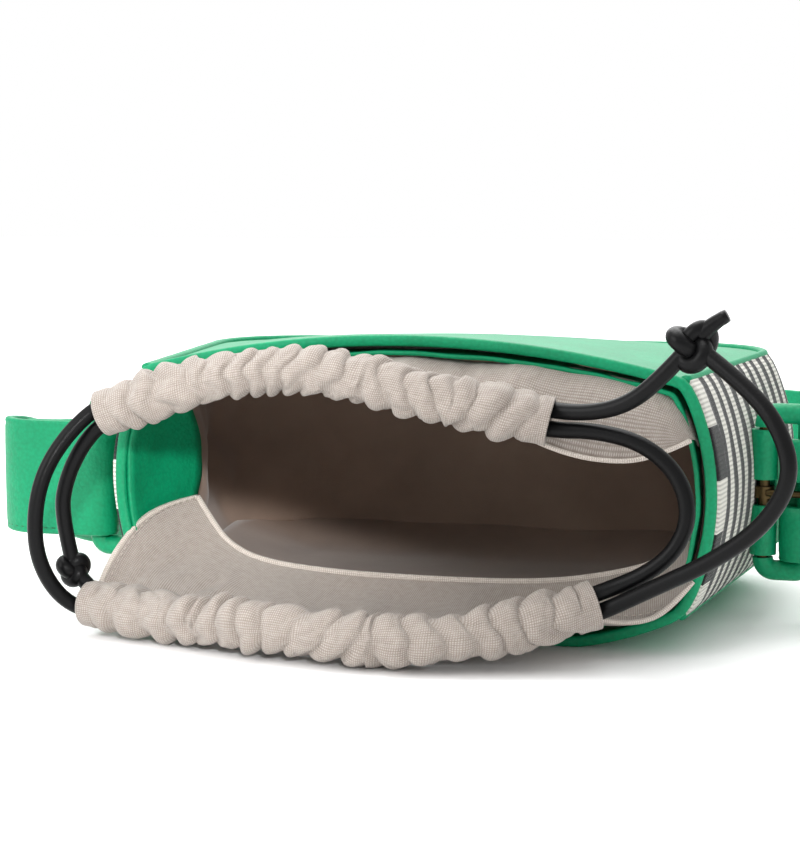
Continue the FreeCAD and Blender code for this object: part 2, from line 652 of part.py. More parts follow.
doc.recompute()
problems = []
for item in doc.Objects:
    if any(flag in ("Invalid", "Error") for flag in item.State):
        problems.append(f"{item.Name}: {item.State}")
for name, feature in nodes.items():
    shape = feature.Shape
    if shape.isNull() or not shape.isValid() or not shape.Solids:
        problems.append(f"{name}: null {shape.isNull()}, solids {len(shape.Solids)}")
if problems:
    raise RuntimeError("; ".join(problems))
os.makedirs("parts", exist_ok=True)
for name, feature in nodes.items():
    feature.Shape.exportStep(f"parts/{name}.step")
    box = feature.Shape.optimalBoundingBox(False, False)
    print(f"{name:24s} solids {len(feature.Shape.Solids)} x {box.XMin:.1f} {box.XMax:.1f}",
          f"y {box.YMin:.1f} {box.YMax:.1f} z {box.ZMin:.1f} {box.ZMax:.1f}")
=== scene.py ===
import math
import bmesh
import bpy
from mathutils import Matrix, Vector, noise


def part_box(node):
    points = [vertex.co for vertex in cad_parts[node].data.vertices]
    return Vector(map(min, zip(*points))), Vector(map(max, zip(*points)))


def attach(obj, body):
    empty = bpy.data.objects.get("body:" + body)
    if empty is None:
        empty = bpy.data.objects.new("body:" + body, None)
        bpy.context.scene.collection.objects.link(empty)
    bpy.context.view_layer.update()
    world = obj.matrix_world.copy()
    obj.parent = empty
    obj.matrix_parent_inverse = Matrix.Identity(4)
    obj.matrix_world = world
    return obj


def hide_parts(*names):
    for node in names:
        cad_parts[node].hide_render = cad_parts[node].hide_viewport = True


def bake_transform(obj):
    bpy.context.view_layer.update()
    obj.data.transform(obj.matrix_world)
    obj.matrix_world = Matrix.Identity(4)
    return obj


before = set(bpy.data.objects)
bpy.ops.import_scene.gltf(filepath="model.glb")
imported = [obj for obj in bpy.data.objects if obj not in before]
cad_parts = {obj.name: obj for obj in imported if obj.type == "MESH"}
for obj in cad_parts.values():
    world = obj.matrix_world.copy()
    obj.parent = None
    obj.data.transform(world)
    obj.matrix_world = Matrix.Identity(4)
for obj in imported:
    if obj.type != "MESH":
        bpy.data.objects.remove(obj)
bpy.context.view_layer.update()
mm = 0.001

# ------------------------------------------------------------------ studio
# A white floor, soft daylight from above and behind, and a narrow lamp on the
# left of the mouth. The camera looks in from a little to the right.
floor_mesh = bmesh.new()
bmesh.ops.create_grid(floor_mesh, x_segments=1, y_segments=1, size=6)
bmesh.ops.translate(floor_mesh, verts=floor_mesh.verts, vec=(0, 0, -0.2 * mm))
floor_data = bpy.data.meshes.new("studio_floor")
floor_mesh.to_mesh(floor_data)
floor_mesh.free()
studio_floor = bpy.data.objects.new("studio_floor", floor_data)
bpy.context.collection.objects.link(studio_floor)

floor_paint = bpy.data.materials.new("white_sweep")
floor_paint.use_nodes = True
floor_shader = floor_paint.node_tree.nodes["Principled BSDF"]
floor_shader.inputs["Base Color"].default_value = (1, 1, 1, 1)
floor_shader.inputs["Roughness"].default_value = 0.55
floor_shader.inputs["Specular IOR Level"].default_value = 0.0
floor_data.materials.append(floor_paint)

daylight = bpy.data.worlds.new("white_studio")
daylight.use_nodes = True
sky_nodes, sky_links = daylight.node_tree.nodes, daylight.node_tree.links
sky_way = sky_nodes.new("ShaderNodeTexCoord").outputs["Generated"]
sky_blend = sky_nodes.new("ShaderNodeVectorMath")
sky_blend.operation = "DOT_PRODUCT"
sky_blend.inputs[1].default_value = (0.05, 0.14, 0.24)
sky_links.new(sky_way, sky_blend.inputs[0])
sky_level = sky_nodes.new("ShaderNodeMath")
sky_level.operation = "ADD"
sky_level.use_clamp = True
sky_level.inputs[1].default_value = 0.9
sky_links.new(sky_blend.outputs["Value"], sky_level.inputs[0])
sky_links.new(sky_level.outputs[0], sky_nodes["Background"].inputs["Color"])
bpy.context.scene.world = daylight
bpy.context.scene.view_settings.view_transform = "Standard"

for lamp_name, place, aim, width, watts in (
        ("back_softbox", (-0.25, 1.1, 1.0), (0, 0, 0.05), 1.2, 12),
        ("top_softbox", (-0.2, 0.1, 1.3), (0, 0, 0.05), 0.8, 8),
        ("side_softbox", (-0.75, -0.75, 0.55), (-0.06, -0.08, 0.03), 0.7, 6)):
    lamp = bpy.data.lights.new(lamp_name, "AREA")
    lamp.size = width
    lamp.energy = watts
    lamp_object = bpy.data.objects.new(lamp_name, lamp)
    lamp_object.location = place
    lamp_object.rotation_euler = (Vector(aim) - Vector(place)).to_track_quat("-Z", "Y").to_euler()
    bpy.context.collection.objects.link(lamp_object)

sun = bpy.data.objects.new("window_light", bpy.data.lights.new("window_light", "SUN"))
sun.data.energy = 0.6
sun.data.angle = math.radians(55)
sun.rotation_euler = (Vector((-0.1, 0.45, 1))).to_track_quat("Z", "Y").to_euler()
bpy.context.collection.objects.link(sun)

gleam = bpy.data.objects.new("mouth_gleam", bpy.data.lights.new("mouth_gleam", "SPOT"))
gleam.data.energy = 62
gleam.data.spot_size = math.radians(8)
gleam.data.spot_blend = 0.9
gleam.data.shadow_soft_size = 0.06
gleam.location = (0.30, -0.95, 0.42)
gleam.rotation_euler = (gleam.location - Vector((-0.075, -0.06, 0.035))).to_track_quat("Z", "Y").to_euler()
bpy.context.collection.objects.link(gleam)

view_turn, view_height, view_distance = math.radians(15), math.radians(6.5), 0.663
view_target = Vector((-2 * mm, -75 * mm, 71 * mm))
away = Vector((math.sin(view_turn) * math.cos(view_height),
               -math.cos(view_turn) * math.cos(view_height), math.sin(view_height)))
camera = bpy.data.objects.new("camera", bpy.data.cameras.new("camera"))
camera.data.lens = 84.7
camera.data.sensor_width = 36
camera.data.clip_start = 0.01
camera.location = view_target + away * view_distance
camera.rotation_euler = (-away).to_track_quat("-Z", "Y").to_euler()
bpy.context.collection.objects.link(camera)
bpy.context.scene.camera = camera

# ------------------------------------------------------------------ drawcords
# Two round cords of rolled black leather. Each runs through both gathered
# tunnels and is tied to itself at one side of the bag.
cord_width = 5.2 * mm


def finish_with(name, roughness, sheen=0.0):
    """A material with its shader, ready for colour and grain."""
    material = bpy.data.materials.new(name)
    material.use_nodes = True
    shader = material.node_tree.nodes["Principled BSDF"]
    shader.inputs["Roughness"].default_value = roughness
    shader.inputs["Sheen Weight"].default_value = sheen
    return material


def mottle(material, place, scale, detail=2):
    """Uneven tone spread over a piece."""
    cloud = material.node_tree.nodes.new("ShaderNodeTexNoise")
    cloud.inputs["Scale"].default_value = scale
    cloud.inputs["Detail"].default_value = detail
    material.node_tree.links.new(place, cloud.inputs["Vector"])
    return cloud.outputs["Fac"]


def lay_over(material, tone, weight, base):
    """One tone or height laid over another by its weight."""
    total = material.node_tree.nodes.new("ShaderNodeMath")
    total.operation = "MULTIPLY_ADD"
    total.inputs[1].default_value = weight
    material.node_tree.links.new(tone, total.inputs[0])
    material.node_tree.links.new(base, total.inputs[2])
    return total.outputs["Value"]


def two_tone(material, share, dark, light, start=0.0, stop=1.0):
    """Colours a surface from dark to light."""
    nodes, links = material.node_tree.nodes, material.node_tree.links
    ramp = nodes.new("ShaderNodeValToRGB")
    for step, spot, colour in zip(ramp.color_ramp.elements, (start, stop), (dark, light)):
        step.position = spot
        step.color = (*colour, 1)
    links.new(share, ramp.inputs["Fac"])
    links.new(ramp.outputs["Color"], nodes["Principled BSDF"].inputs["Base Color"])
    return ramp


def press_in(material, height, strength, depth):
    """Presses a grain or a weave into the surface."""
    nodes, links = material.node_tree.nodes, material.node_tree.links
    bump = nodes.new("ShaderNodeBump")
    bump.inputs["Strength"].default_value = strength
    bump.inputs["Distance"].default_value = depth
    links.new(height, bump.inputs["Height"])
    links.new(bump.outputs["Normal"], nodes["Principled BSDF"].inputs["Normal"])


def leather_finish(name, dark, light, roughness, grain_size, grain_depth):
    """Leather: colour that varies softly, with a pebbled grain pressed in and painted shade in the grain's
    hollows.
    """
    material = finish_with(name, roughness)
    nodes, links = material.node_tree.nodes, material.node_tree.links
    place = nodes.new("ShaderNodeTexCoord").outputs["Object"]
    pebbles = nodes.new("ShaderNodeTexVoronoi")
    pebbles.feature = "SMOOTH_F1"
    pebbles.inputs["Scale"].default_value = 1 / grain_size
    links.new(place, pebbles.inputs["Vector"])
    valley = nodes.new("ShaderNodeMapRange")
    for socket, value in (("From Min", 0.75), ("From Max", 0.2), ("To Min", 0.45), ("To Max", 1.0)):
        valley.inputs[socket].default_value = value
    links.new(pebbles.outputs["Distance"], valley.inputs["Value"])
    tone = nodes.new("ShaderNodeMix")
    tone.data_type = "RGBA"
    tone.inputs[6].default_value = (*dark, 1)
    tone.inputs[7].default_value = (*light, 1)
    links.new(mottle(material, place, 45, 3), tone.inputs[0])
    # Painted shade: the colour is darkened where the pebbled grain is low.
    worn = nodes.new("ShaderNodeMix")
    worn.data_type = "RGBA"
    worn.blend_type = "MULTIPLY"
    worn.inputs[0].default_value = 0.35
    links.new(tone.outputs[2], worn.inputs[6])
    links.new(valley.outputs["Result"], worn.inputs[7])
    links.new(worn.outputs[2], nodes["Principled BSDF"].inputs["Base Color"])
    pores = mottle(material, place, 3 / grain_size, 4)
    press_in(material, lay_over(material, pores, 0.5, valley.outputs["Result"]), 0.6, grain_depth)
    return material


black_leather = leather_finish("rolled_black_leather", (0.002, 0.002, 0.0022),
                               (0.005, 0.005, 0.0055), 0.36, 0.7 * mm, 0.07 * mm)
black_leather.node_tree.nodes["Principled BSDF"].inputs["Specular IOR Level"].default_value = 0.14


def spline_of(points, radius):
    """A smooth spline through its guide points, as a round rod or, with no radius, a line."""
    curve = bpy.data.curves.new("guide", "CURVE")
    curve.dimensions = "3D"
    curve.resolution_u = 16
    curve.bevel_depth = radius
    curve.bevel_resolution = 6
    curve.use_fill_caps = radius > 0
    spline = curve.splines.new("NURBS")
    spline.points.add(len(points) - 1)
    for point, (x, y, z) in zip(spline.points, points):
        point.co = (x * mm, y * mm, z * mm, 1)
    spline.order_u = 3
    spline.use_endpoint_u = True
    holder = bpy.data.objects.new("guide", curve)
    mesh = bpy.data.meshes.new_from_object(holder)
    bpy.data.objects.remove(holder)
    bpy.data.curves.remove(curve)
    return mesh


def rolled_cord(name, points, width):
    """A leather cord along a spline, with the points of its middle line and its length."""
    cord = bpy.data.objects.new(name, spline_of(points, width / 2))
    bpy.context.collection.objects.link(cord)
    cord.data.shade_smooth()
    line = spline_of(points, 0)
    middle = [vertex.co.copy() for vertex in line.vertices]
    bpy.data.meshes.remove(line)
    length = sum((b - a).length for a, b in zip(middle, middle[1:]))
    return cord, middle, length


outer_route = [(95.6, -111, 99.2), (87, -111, 89.5), (77, -108.5, 82.5), (65, -105, 79.9),
               (52.7, -101, 80.2), (28, -103, 84.9), (-1.6, -101, 90.2), (-33, -97, 94.4),
               (-67.5, -97, 88.6), (-97.8, -97, 78.8), (-108, -103, 69), (-115, -109, 56),
               (-117.6, -111.5, 41), (-116.5, -111.5, 26), (-111, -106.5, 13), (-102.8, -99, 7),
               (-75, -108, 6.4), (-36, -119, 7.4), (8, -125, 6.4), (42, -118, 8.8),
               (68.2, -107, 16.8), (88, -114, 28), (107, -120.5, 38.5), (122, -125, 50.5),
               (130, -127, 65.5), (125.5, -125, 80), (115, -119, 91), (102.2, -113.2, 99.8)]
inner_route = [(-110.3, -97.7, 24.5), (-113.5, -99, 40), (-111.5, -99, 52), (-105.5, -98.5, 64),
               (-97.8, -97, 72.4), (-67.5, -97, 82.2), (-33, -97, 88), (-1.6, -101, 83.8),
               (28, -103, 78.5), (52.7, -101, 73.8), (68, -102, 74.3), (83.5, -104.5, 71),
               (95, -107, 61.5), (98.5, -108.5, 47.5), (90, -109, 33.5), (68.2, -107, 23.2),
               (42, -118, 15.2), (8, -125, 12.8), (-36, -119, 13.8), (-75, -108, 12.8),
               (-90, -103.5, 12.9), (-101, -99.8, 13.2), (-107.6, -98.1, 19.4)]
outer_cord, outer_middle, outer_length = rolled_cord("outer_drawcord", outer_route, cord_width)
inner_cord, inner_middle, inner_length = rolled_cord("inner_drawcord", inner_route, cord_width)
for cord in (outer_cord, inner_cord):
    cord.data.materials.append(black_leather)
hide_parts("outer_cord_front", "outer_cord_left_loop", "outer_cord_back",
            "outer_cord_lower", "outer_cord_upper")
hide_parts("inner_cord_upper", "inner_cord_front", "inner_cord_right_loop",
            "inner_cord_back")
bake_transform(outer_cord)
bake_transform(inner_cord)

# ------------------------------------------------------------------ front and back panels
# Each panel is one piece of pebbled green leather over a board, swelling a
# little between its seams. The bag rests on the flat of the back panel.
gusset_low = Vector(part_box("side_gusset")[0])
piping_low, piping_high = (Vector(corner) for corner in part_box("front_piping"))
piping_radius = (piping_high.z - piping_low.z) / 2
front_seam = (piping_high.z + piping_low.z) / 2
back_seam = sum(corner[2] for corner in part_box("back_piping")) / 2
mouth_y, base_y = gusset_low.y, piping_high.y - piping_radius
bag_depth = base_y - mouth_y
mouth_half, base_half, corner_radius = 92 * mm, 112 * mm, 35 * mm
slant = math.atan((base_half - mouth_half) / bag_depth)
corner_y = base_y - corner_radius
corner_x = mouth_half + ((corner_y - mouth_y) * math.sin(slant) - corner_radius) / math.cos(slant)

green_leather = leather_finish("green_pebbled_leather", (0.0005, 0.20, 0.08),
                               (0.001, 0.33, 0.145), 0.5, 1.15 * mm, 0.24 * mm)
green_leather.node_tree.nodes["Principled BSDF"].inputs["Specular IOR Level"].default_value = 0.26


def half_width(y):
    """Half the bag's width between its seams, at a depth."""
    if y < corner_y - corner_radius * math.sin(slant):
        return mouth_half + (y - mouth_y) * math.tan(slant)
    rise = min(1, (y - corner_y) / corner_radius)
    return corner_x + corner_radius * math.sqrt(max(0, 1 - rise * rise))


def drawn(name, stations, profile_at, closed=True, loop=False, capped=False):
    """A profile pulled through a row of stations, each a place and two directions."""
    shape = bmesh.new()
    lie = shape.loops.layers.uv.new("lie")

    def put(index):
        place, side, up = stations[index]
        if side is None:
            return profile_at(index)
        return [place + side * x + up * y for x, y in profile_at(index)]

    places = put(0)
    row = [shape.verts.new(place) for place in places]
    start = list(row)
    pairs = list(zip(row, row[1:] + row[:1])) if closed else list(zip(row, row[1:]))
    edges = [shape.edges.new(pair) for pair in pairs]
    around = [0.0]
    for a, b in pairs:
        around.append(around[-1] + (b.co - a.co).length)
    if capped:
        shape.faces.new(list(reversed(row)))
    travelled = 0.0
    for index in range(1, len(stations)):
        made = bmesh.ops.extrude_edge_only(shape, edges=edges)["geom"]
        fresh = {item for item in made if isinstance(item, bmesh.types.BMVert)}
        ahead = [next(edge.other_vert(vert) for edge in vert.link_edges
                      if edge.other_vert(vert) in fresh) for vert in row]
        for vert, place in zip(ahead, put(index)):
            vert.co = place
        step = sum((b.co - a.co).length for a, b in zip(row[::4], ahead[::4])) / len(row[::4])
        count = len(row)
        for k in range(len(pairs)):
            a, b = row[k], row[(k + 1) % count]
            c, d = ahead[k], ahead[(k + 1) % count]
            edge = next(edge for edge in c.link_edges if edge.other_vert(c) is d)
            face = next(face for face in edge.link_faces if a in face.verts)
            for corner in face.loops:
                far = corner.vert in (c, d)
                high = corner.vert in (b, d)
                corner[lie].uv = (travelled + step * far, around[k + 1] if high else around[k])
        travelled += step
        row = ahead
        edges = [next(edge for edge in row[k].link_edges
                      if edge.other_vert(row[k]) is row[(k + 1) % count])
                 for k in range(len(pairs))]
    if loop:
        bmesh.ops.bridge_loops(shape, edges=edges + [
            next(edge for edge in start[k].link_edges
                 if edge.other_vert(start[k]) is start[(k + 1) % len(start)])
            for k in range(len(pairs))])
    if capped:
        shape.faces.new(row)
    bmesh.ops.recalc_face_normals(shape, faces=shape.faces)
    data = bpy.data.meshes.new(name)
    shape.to_mesh(data)
    shape.free()
    data.shade_smooth()
    piece = bpy.data.objects.new(name, data)
    bpy.context.collection.objects.link(piece)
    return piece


def finish_piece(piece, material, slot_name, body, *stands_for):
    """Gives a piece its material and the body it moves with; its slot name is not used."""
    piece.data.materials.append(material)
    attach(piece, body)
    if stands_for:
        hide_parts(*stands_for)
    return piece


def thicken(piece, thickness, offset=-1.0):
    """Gives a sheet its thickness."""
    wall = piece.modifiers.new("thickness", "SOLIDIFY")
    wall.thickness = thickness
    wall.offset = offset


panel_rows = 46
panel_depths = [mouth_y + (bag_depth - 1.5 * mm) * math.sin(math.pi / 2 * row / panel_rows) ** 0.9
                for row in range(panel_rows + 1)]
front_crown, base_crown = 12 * mm, 2 * mm


def front_height(x, y):
    """Outer face of the front panel above the floor."""
    across = min(1, abs(x) / half_width(y))
    along = (y - mouth_y) / bag_depth
    crown = front_crown + (base_crown - front_crown) * along
    swell = 1.6 * mm * math.sin(math.pi * along) * (1 - across ** 4)
    ripple = 0.5 * mm * noise.noise(Vector((x * 22, y * 22, 0.3)))
    return front_seam + crown * (1 - across ** 2) + swell + ripple * (1 - across ** 6)


def back_height(x, y):
    """Outer face of the back panel: flat where it lies, turned up at its edges."""
    side = (half_width(y) - abs(x)) / (45 * mm)
    end = (base_y - y) / (45 * mm)
    reach = max(0, min(1, side, end))
    return back_seam * (1 - math.sin(math.pi / 2 * reach) ** 0.9)


def panel_profile(height):
    """Across a panel at each depth, with more points towards its seams."""
    def profile(row):
        y = panel_depths[row]
        half = half_width(y) - 1.2 * mm
        across = [half * math.sin(math.pi / 2 * step / 24) for step in range(-24, 25)]
        return [(x, height(x, y)) for x in across]
    return profile


panel_rows_at = [(Vector((0, y, 0)), Vector((1, 0, 0)), Vector((0, 0, 1))) for y in panel_depths]
front_panel = drawn("front_panel_leather", panel_rows_at, panel_profile(front_height), closed=False)
thicken(front_panel, 2.2 * mm)
finish_piece(front_panel, green_leather, "green_leather", "bag", "front_panel")
back_panel = drawn("back_panel_leather", panel_rows_at, panel_profile(back_height), closed=False)
thicken(back_panel, 2.2 * mm)
finish_piece(back_panel, green_leather, "green_leather", "bag", "back_panel")

# ------------------------------------------------------------------ piped seams
# A cord wrapped in green leather lies in each long seam, between a panel and
# the side band, from the mouth round the base and back.
def seam_path(z, outset=0.0):
    """Seam line round the bag at a height, moved outwards by the outset."""
    side_way = Vector((math.cos(slant), -math.sin(slant), 0))
    right = [Vector((mouth_half, mouth_y, z)) + side_way * outset]
    for step in range(13):
        turn = -slant + (math.pi / 2 + slant) * step / 12
        right.append(Vector((corner_x + (corner_radius + outset) * math.cos(turn),
                             corner_y + (corner_radius + outset) * math.sin(turn), z)))
    return right + [Vector((-point.x, point.y, z)) for point in reversed(right)]


def even_steps(line, step, loop=False):
    """Points spaced evenly along a line."""
    line = list(line) + ([line[0]] if loop else [])
    travelled = [0.0]
    for a, b in zip(line, line[1:]):
        travelled.append(travelled[-1] + (b - a).length)
    count = max(2, round(travelled[-1] / step))
    spaced, k = [], 0
    for i in range(count if loop else count + 1):
        distance = travelled[-1] * i / count
        while k < len(line) - 2 and travelled[k + 1] < distance:
            k += 1
        share = (distance - travelled[k]) / max(1e-9, travelled[k + 1] - travelled[k])
        spaced.append(line[k].lerp(line[k + 1], min(1, share)))
    return spaced


def stations_on(line, up=Vector((0, 0, 1)), loop=False):
    """Place, sideways and upward directions at each point of a line."""
    stations = []
    for i, place in enumerate(line):
        before = line[i - 1] if i or loop else place
        after = line[(i + 1) % len(line)] if i < len(line) - 1 or loop else place
        ahead = (after - before).normalized()
        side = ahead.cross(up).normalized()
        stations.append((place, side, side.cross(ahead)))
    return stations


def round_profile(radius, sides=14, flat=1.0):
    """A circle, or an oval where flat is below 1."""
    return [(radius * math.cos(2 * math.pi * k / sides),
             radius * flat * math.sin(2 * math.pi * k / sides)) for k in range(sides)]


for piping_name, seam_z in (("front_piping", front_seam), ("back_piping", back_seam)):
    path = stations_on(even_steps(seam_path(seam_z), 4 * mm))
    wrinkle = [1 + 0.05 * noise.noise(Vector((i * 0.7, seam_z * 100, 0))) for i in range(len(path))]
    piping = drawn(piping_name + "_leather", path,
                   lambda i: round_profile(piping_radius * wrinkle[i]), capped=True)
    finish_piece(piping, green_leather, "green_leather", "bag", piping_name)

# ------------------------------------------------------------------ side band
# One strip of striped woven cloth goes down both sides and round the base. Its
# stripes cross the band, its ribs show as fine cords, and it swells outwards.
band_swell = 10 * mm


def band_profile(index):
    """Across the band from the back seam to the front seam, as outset and height."""
    low, high = back_seam + 1 * mm, front_seam - 1 * mm
    profile = []
    for step in range(29):
        share = step / 28
        swell = band_swell * math.sin(math.pi * share) ** 0.75
        swell += 0.5 * mm * noise.noise(Vector((index * 0.16, share * 3, 1.7))) * math.sin(
            math.pi * share)
        profile.append((swell, low + (high - low) * share))
    return profile


def striped_weave():
    """Black, cream and grey stripes woven in ribs, with painted shade between the ribs; bold blocks next to
    the mouth.
    """
    material = finish_with("striped_weave", 0.85, 0.2)
    nodes, links = material.node_tree.nodes, material.node_tree.links
    lie = nodes.new("ShaderNodeUVMap")
    lie.uv_map = "lie"
    split = nodes.new("ShaderNodeSeparateXYZ")
    links.new(lie.outputs["UV"], split.inputs[0])

    def maths(operation, first, second=None):
        """One sum on the way to the stripes."""
        node = nodes.new("ShaderNodeMath")
        node.operation = operation
        for socket, value in zip(node.inputs, (first, second)):
            if isinstance(value, (int, float)):
                socket.default_value = value
            elif value is not None:
                links.new(value, socket)
        return node.outputs[0]

    wobble = maths("SUBTRACT", mottle(material, lie.outputs["UV"], 42), 0.5)
    along = maths("ADD", split.outputs["X"], maths("MULTIPLY", wobble, 5.5 * mm))
    rib = maths("FRACT", maths("DIVIDE", split.outputs["Y"], 1.45 * mm))
    rib_height = maths("SINE", maths("MULTIPLY", rib, math.pi))
    thread = maths("SINE", maths("MULTIPLY", split.outputs["X"], 2 * math.pi / (0.55 * mm)))
    stripe = maths("FRACT", maths("DIVIDE", along, 10.5 * mm))
    bands = nodes.new("ShaderNodeValToRGB")
    bands.color_ramp.interpolation = "CONSTANT"
    black, cream, grey = (0.006, 0.006, 0.007, 1), (0.72, 0.70, 0.64, 1), (0.10, 0.10, 0.10, 1)
    for spot, colour in ((0.0, black), (0.40, cream), (0.88, grey)):
        stop = bands.color_ramp.elements[0] if spot == 0.0 else bands.color_ramp.elements.new(spot)
        stop.color = colour
    bands.color_ramp.elements.remove(bands.color_ramp.elements[-1])
    links.new(stripe, bands.inputs["Fac"])
    block = nodes.new("ShaderNodeValToRGB")
    block.color_ramp.interpolation = "CONSTANT"
    block.color_ramp.elements[0].color = cream
    block.color_ramp.elements[1].position = 0.5
    block.color_ramp.elements[1].color = black
    links.new(maths("FRACT", maths("DIVIDE", maths("ADD", split.outputs["Y"], 6 * mm), 34 * mm)),
              block.inputs["Fac"])
    edge = maths("MINIMUM", along, maths("SUBTRACT", band_length, along))
    edge = maths("ADD", edge, maths("MULTIPLY", wobble, 9 * mm))
    near_mouth = maths("LESS_THAN", edge, 9.5 * mm)
    colour = nodes.new("ShaderNodeMix")
    colour.data_type = "RGBA"
    links.new(near_mouth, colour.inputs[0])
    links.new(bands.outputs["Color"], colour.inputs[6])
    links.new(block.outputs["Color"], colour.inputs[7])
    # Painted shade in the hollows between the ribs, and a slight painted highlight on their crests.
    rib_hollow_shade = nodes.new("ShaderNodeMix")
    rib_hollow_shade.data_type = "RGBA"
    rib_hollow_shade.blend_type = "MULTIPLY"
    rib_hollow_shade.inputs[0].default_value = 0.55
    links.new(colour.outputs[2], rib_hollow_shade.inputs[6])
    links.new(maths("ADD", maths("MULTIPLY", rib_height, 0.75), 0.35), rib_hollow_shade.inputs[7])
    links.new(rib_hollow_shade.outputs[2], nodes["Principled BSDF"].inputs["Base Color"])
    press_in(material, lay_over(material, thread, 0.18, rib_height), 0.8, 0.5 * mm)
    return material


band_path = even_steps(seam_path(0), 3 * mm)
band_length = sum((b - a).length for a, b in zip(band_path, band_path[1:]))
side_band = drawn("side_band_weave", stations_on(band_path), band_profile, closed=False)
thicken(side_band, 2 * mm, offset=1.0)
finish_piece(side_band, striped_weave(), "woven_stripe", "bag", "side_gusset")

# ------------------------------------------------------------------ bound mouth
# The raw edge of the mouth is bound all the way round with one folded strip of
# green leather, which is flat against the floor at the back.
rim_low = Vector(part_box("front_rim_binding")[0])


def mouth_line(outset, y):
    """Closed line round the mouth, from the right front corner over the front."""
    points = []
    for step in range(41):
        share = 1 - step / 20
        points.append((share * mouth_half, front_seam + front_crown * (1 - share * share)))
    left = [(-mouth_half - band_swell * math.sin(math.pi * step / 14) ** 0.75,
             front_seam - (front_seam - back_seam) * step / 14) for step in range(1, 15)]
    under = [(-mouth_half + 45 * mm * step / 8,
              back_seam * (1 - math.sin(math.pi / 2 * step / 8) ** 0.9)) for step in range(1, 9)]
    points += left + under
    points += [(-x, z) for x, z in reversed(left + under)]
    spaced = even_steps([Vector((x, y, z)) for x, z in points], 3 * mm, loop=True)
    count = len(spaced)
    soft = [(spaced[i - 1] + spaced[i] * 2 + spaced[(i + 1) % count]) / 4 for i in range(count)]
    middle = Vector((0, y, 50 * mm))
    moved = []
    for i, place in enumerate(soft):
        ahead = (soft[(i + 1) % count] - soft[i - 1]).normalized()
        outward = ahead.cross(Vector((0, 1, 0))).normalized()
        if outward.dot(place - middle) < 0:
            outward = -outward
        moved.append(place + outward * outset)
    return moved


def pillow_profile(wide, deep):
    """Rounded flat section of a folded leather strip."""
    return [(wide / 2 * math.copysign(abs(math.cos(a)) ** 0.6, math.cos(a)),
             deep / 2 * math.copysign(abs(math.sin(a)) ** 0.8, math.sin(a)))
            for a in (2 * math.pi * k / 16 for k in range(16))]


binding_path = stations_on(mouth_line(-0.8 * mm, rim_low.y + 1.6 * mm), up=Vector((0, 1, 0)),
                           loop=True)
binding = drawn("mouth_binding", binding_path, lambda i: pillow_profile(3.8 * mm, 3.2 * mm),
                loop=True)
for vertex in binding.data.vertices:
    vertex.co.z = max(vertex.co.z, 0.1 * mm)
finish_piece(binding, green_leather, "green_leather", "bag", "front_rim_binding",
             "back_rim_binding", "left_rim_binding", "right_rim_binding")

# ------------------------------------------------------------------ facings and lining
# Behind the binding the mouth is faced with green leather. Past it the bag is
# lined with soft brown cloth, loose enough to crease, over hidden boards.
lining_cloth = finish_with("brown_lining", 0.8, 0.25)
lining_place = lining_cloth.node_tree.nodes.new("ShaderNodeTexCoord").outputs["Object"]
two_tone(lining_cloth, mottle(lining_cloth, lining_place, 18, 5), (0.20, 0.135, 0.10),
         (0.33, 0.235, 0.18), 0.3, 0.75)
press_in(lining_cloth, mottle(lining_cloth, lining_place, 2600), 0.35, 0.15 * mm)

lining_path = even_steps(seam_path(0, outset=-4.4 * mm), 3 * mm)[3:-3]


def lining_wall(index):
    """Lining from the back to the front: smooth at the mouth, creased and slack inside."""
    place = lining_path[index]
    inside = min(1, min(index, len(lining_path) - 1 - index) * 3 * mm / (42 * mm))
    inside *= inside * (3 - 2 * inside)
    from_base = max(0, min(1, (62 * mm - place.y) / (26 * mm)))
    profile = []
    for step in range(31):
        share = step / 30
        z = 13 * mm + (84 - 13) * mm * share
        slack = math.sin(math.pi * share) ** 0.8
        crease = noise.noise(Vector((place.x * 30 + share * 1.6, place.y * 34, share * 2.4)))
        fine = noise.noise(Vector((place.x * 75, place.y * 75 + share * 2, share * 5)))
        swell = band_swell * slack * (0.96 - 0.5 * inside) * from_base
        folds = min(4, 11 * crease + 3.6 * fine) * mm * slack * inside * (0.3 + 0.7 * from_base)
        profile.append((swell + folds - 3.4 * mm * (1 - from_base), z))
    return profile


side_lining = drawn("side_lining_cloth", stations_on(lining_path), lining_wall, closed=False)
thicken(side_lining, 0.8 * mm)
finish_piece(side_lining, lining_cloth, "lining", "bag", "side_lining")


first_row = 6


def lining_panel(height, lift):
    """Lining over a panel behind the facing, with a few soft folds."""
    def profile(row):
        y = panel_depths[first_row + row]
        half = half_width(y) - 5.5 * mm
        across = [half * step / 30 for step in range(-30, 31)]
        return [(x, height(x, min(y, base_y - 6 * mm)) + lift
                 + 1.3 * mm * noise.noise(Vector((x * 30, y * 14, lift * 400)))) for x in across]
    return profile


front_lining = drawn("front_lining_cloth", panel_rows_at[first_row:],
                     lining_panel(front_height, -6 * mm), closed=False)
thicken(front_lining, 0.8 * mm)
finish_piece(front_lining, lining_cloth, "lining", "bag", "front_lining")
back_lining = drawn("back_lining_cloth", panel_rows_at[first_row:],
                    lining_panel(back_height, 6 * mm), closed=False)
thicken(back_lining, 0.8 * mm)
finish_piece(back_lining, lining_cloth, "lining", "bag", "back_lining")

facing_line = mouth_line(-5.2 * mm, mouth_y + 7 * mm)


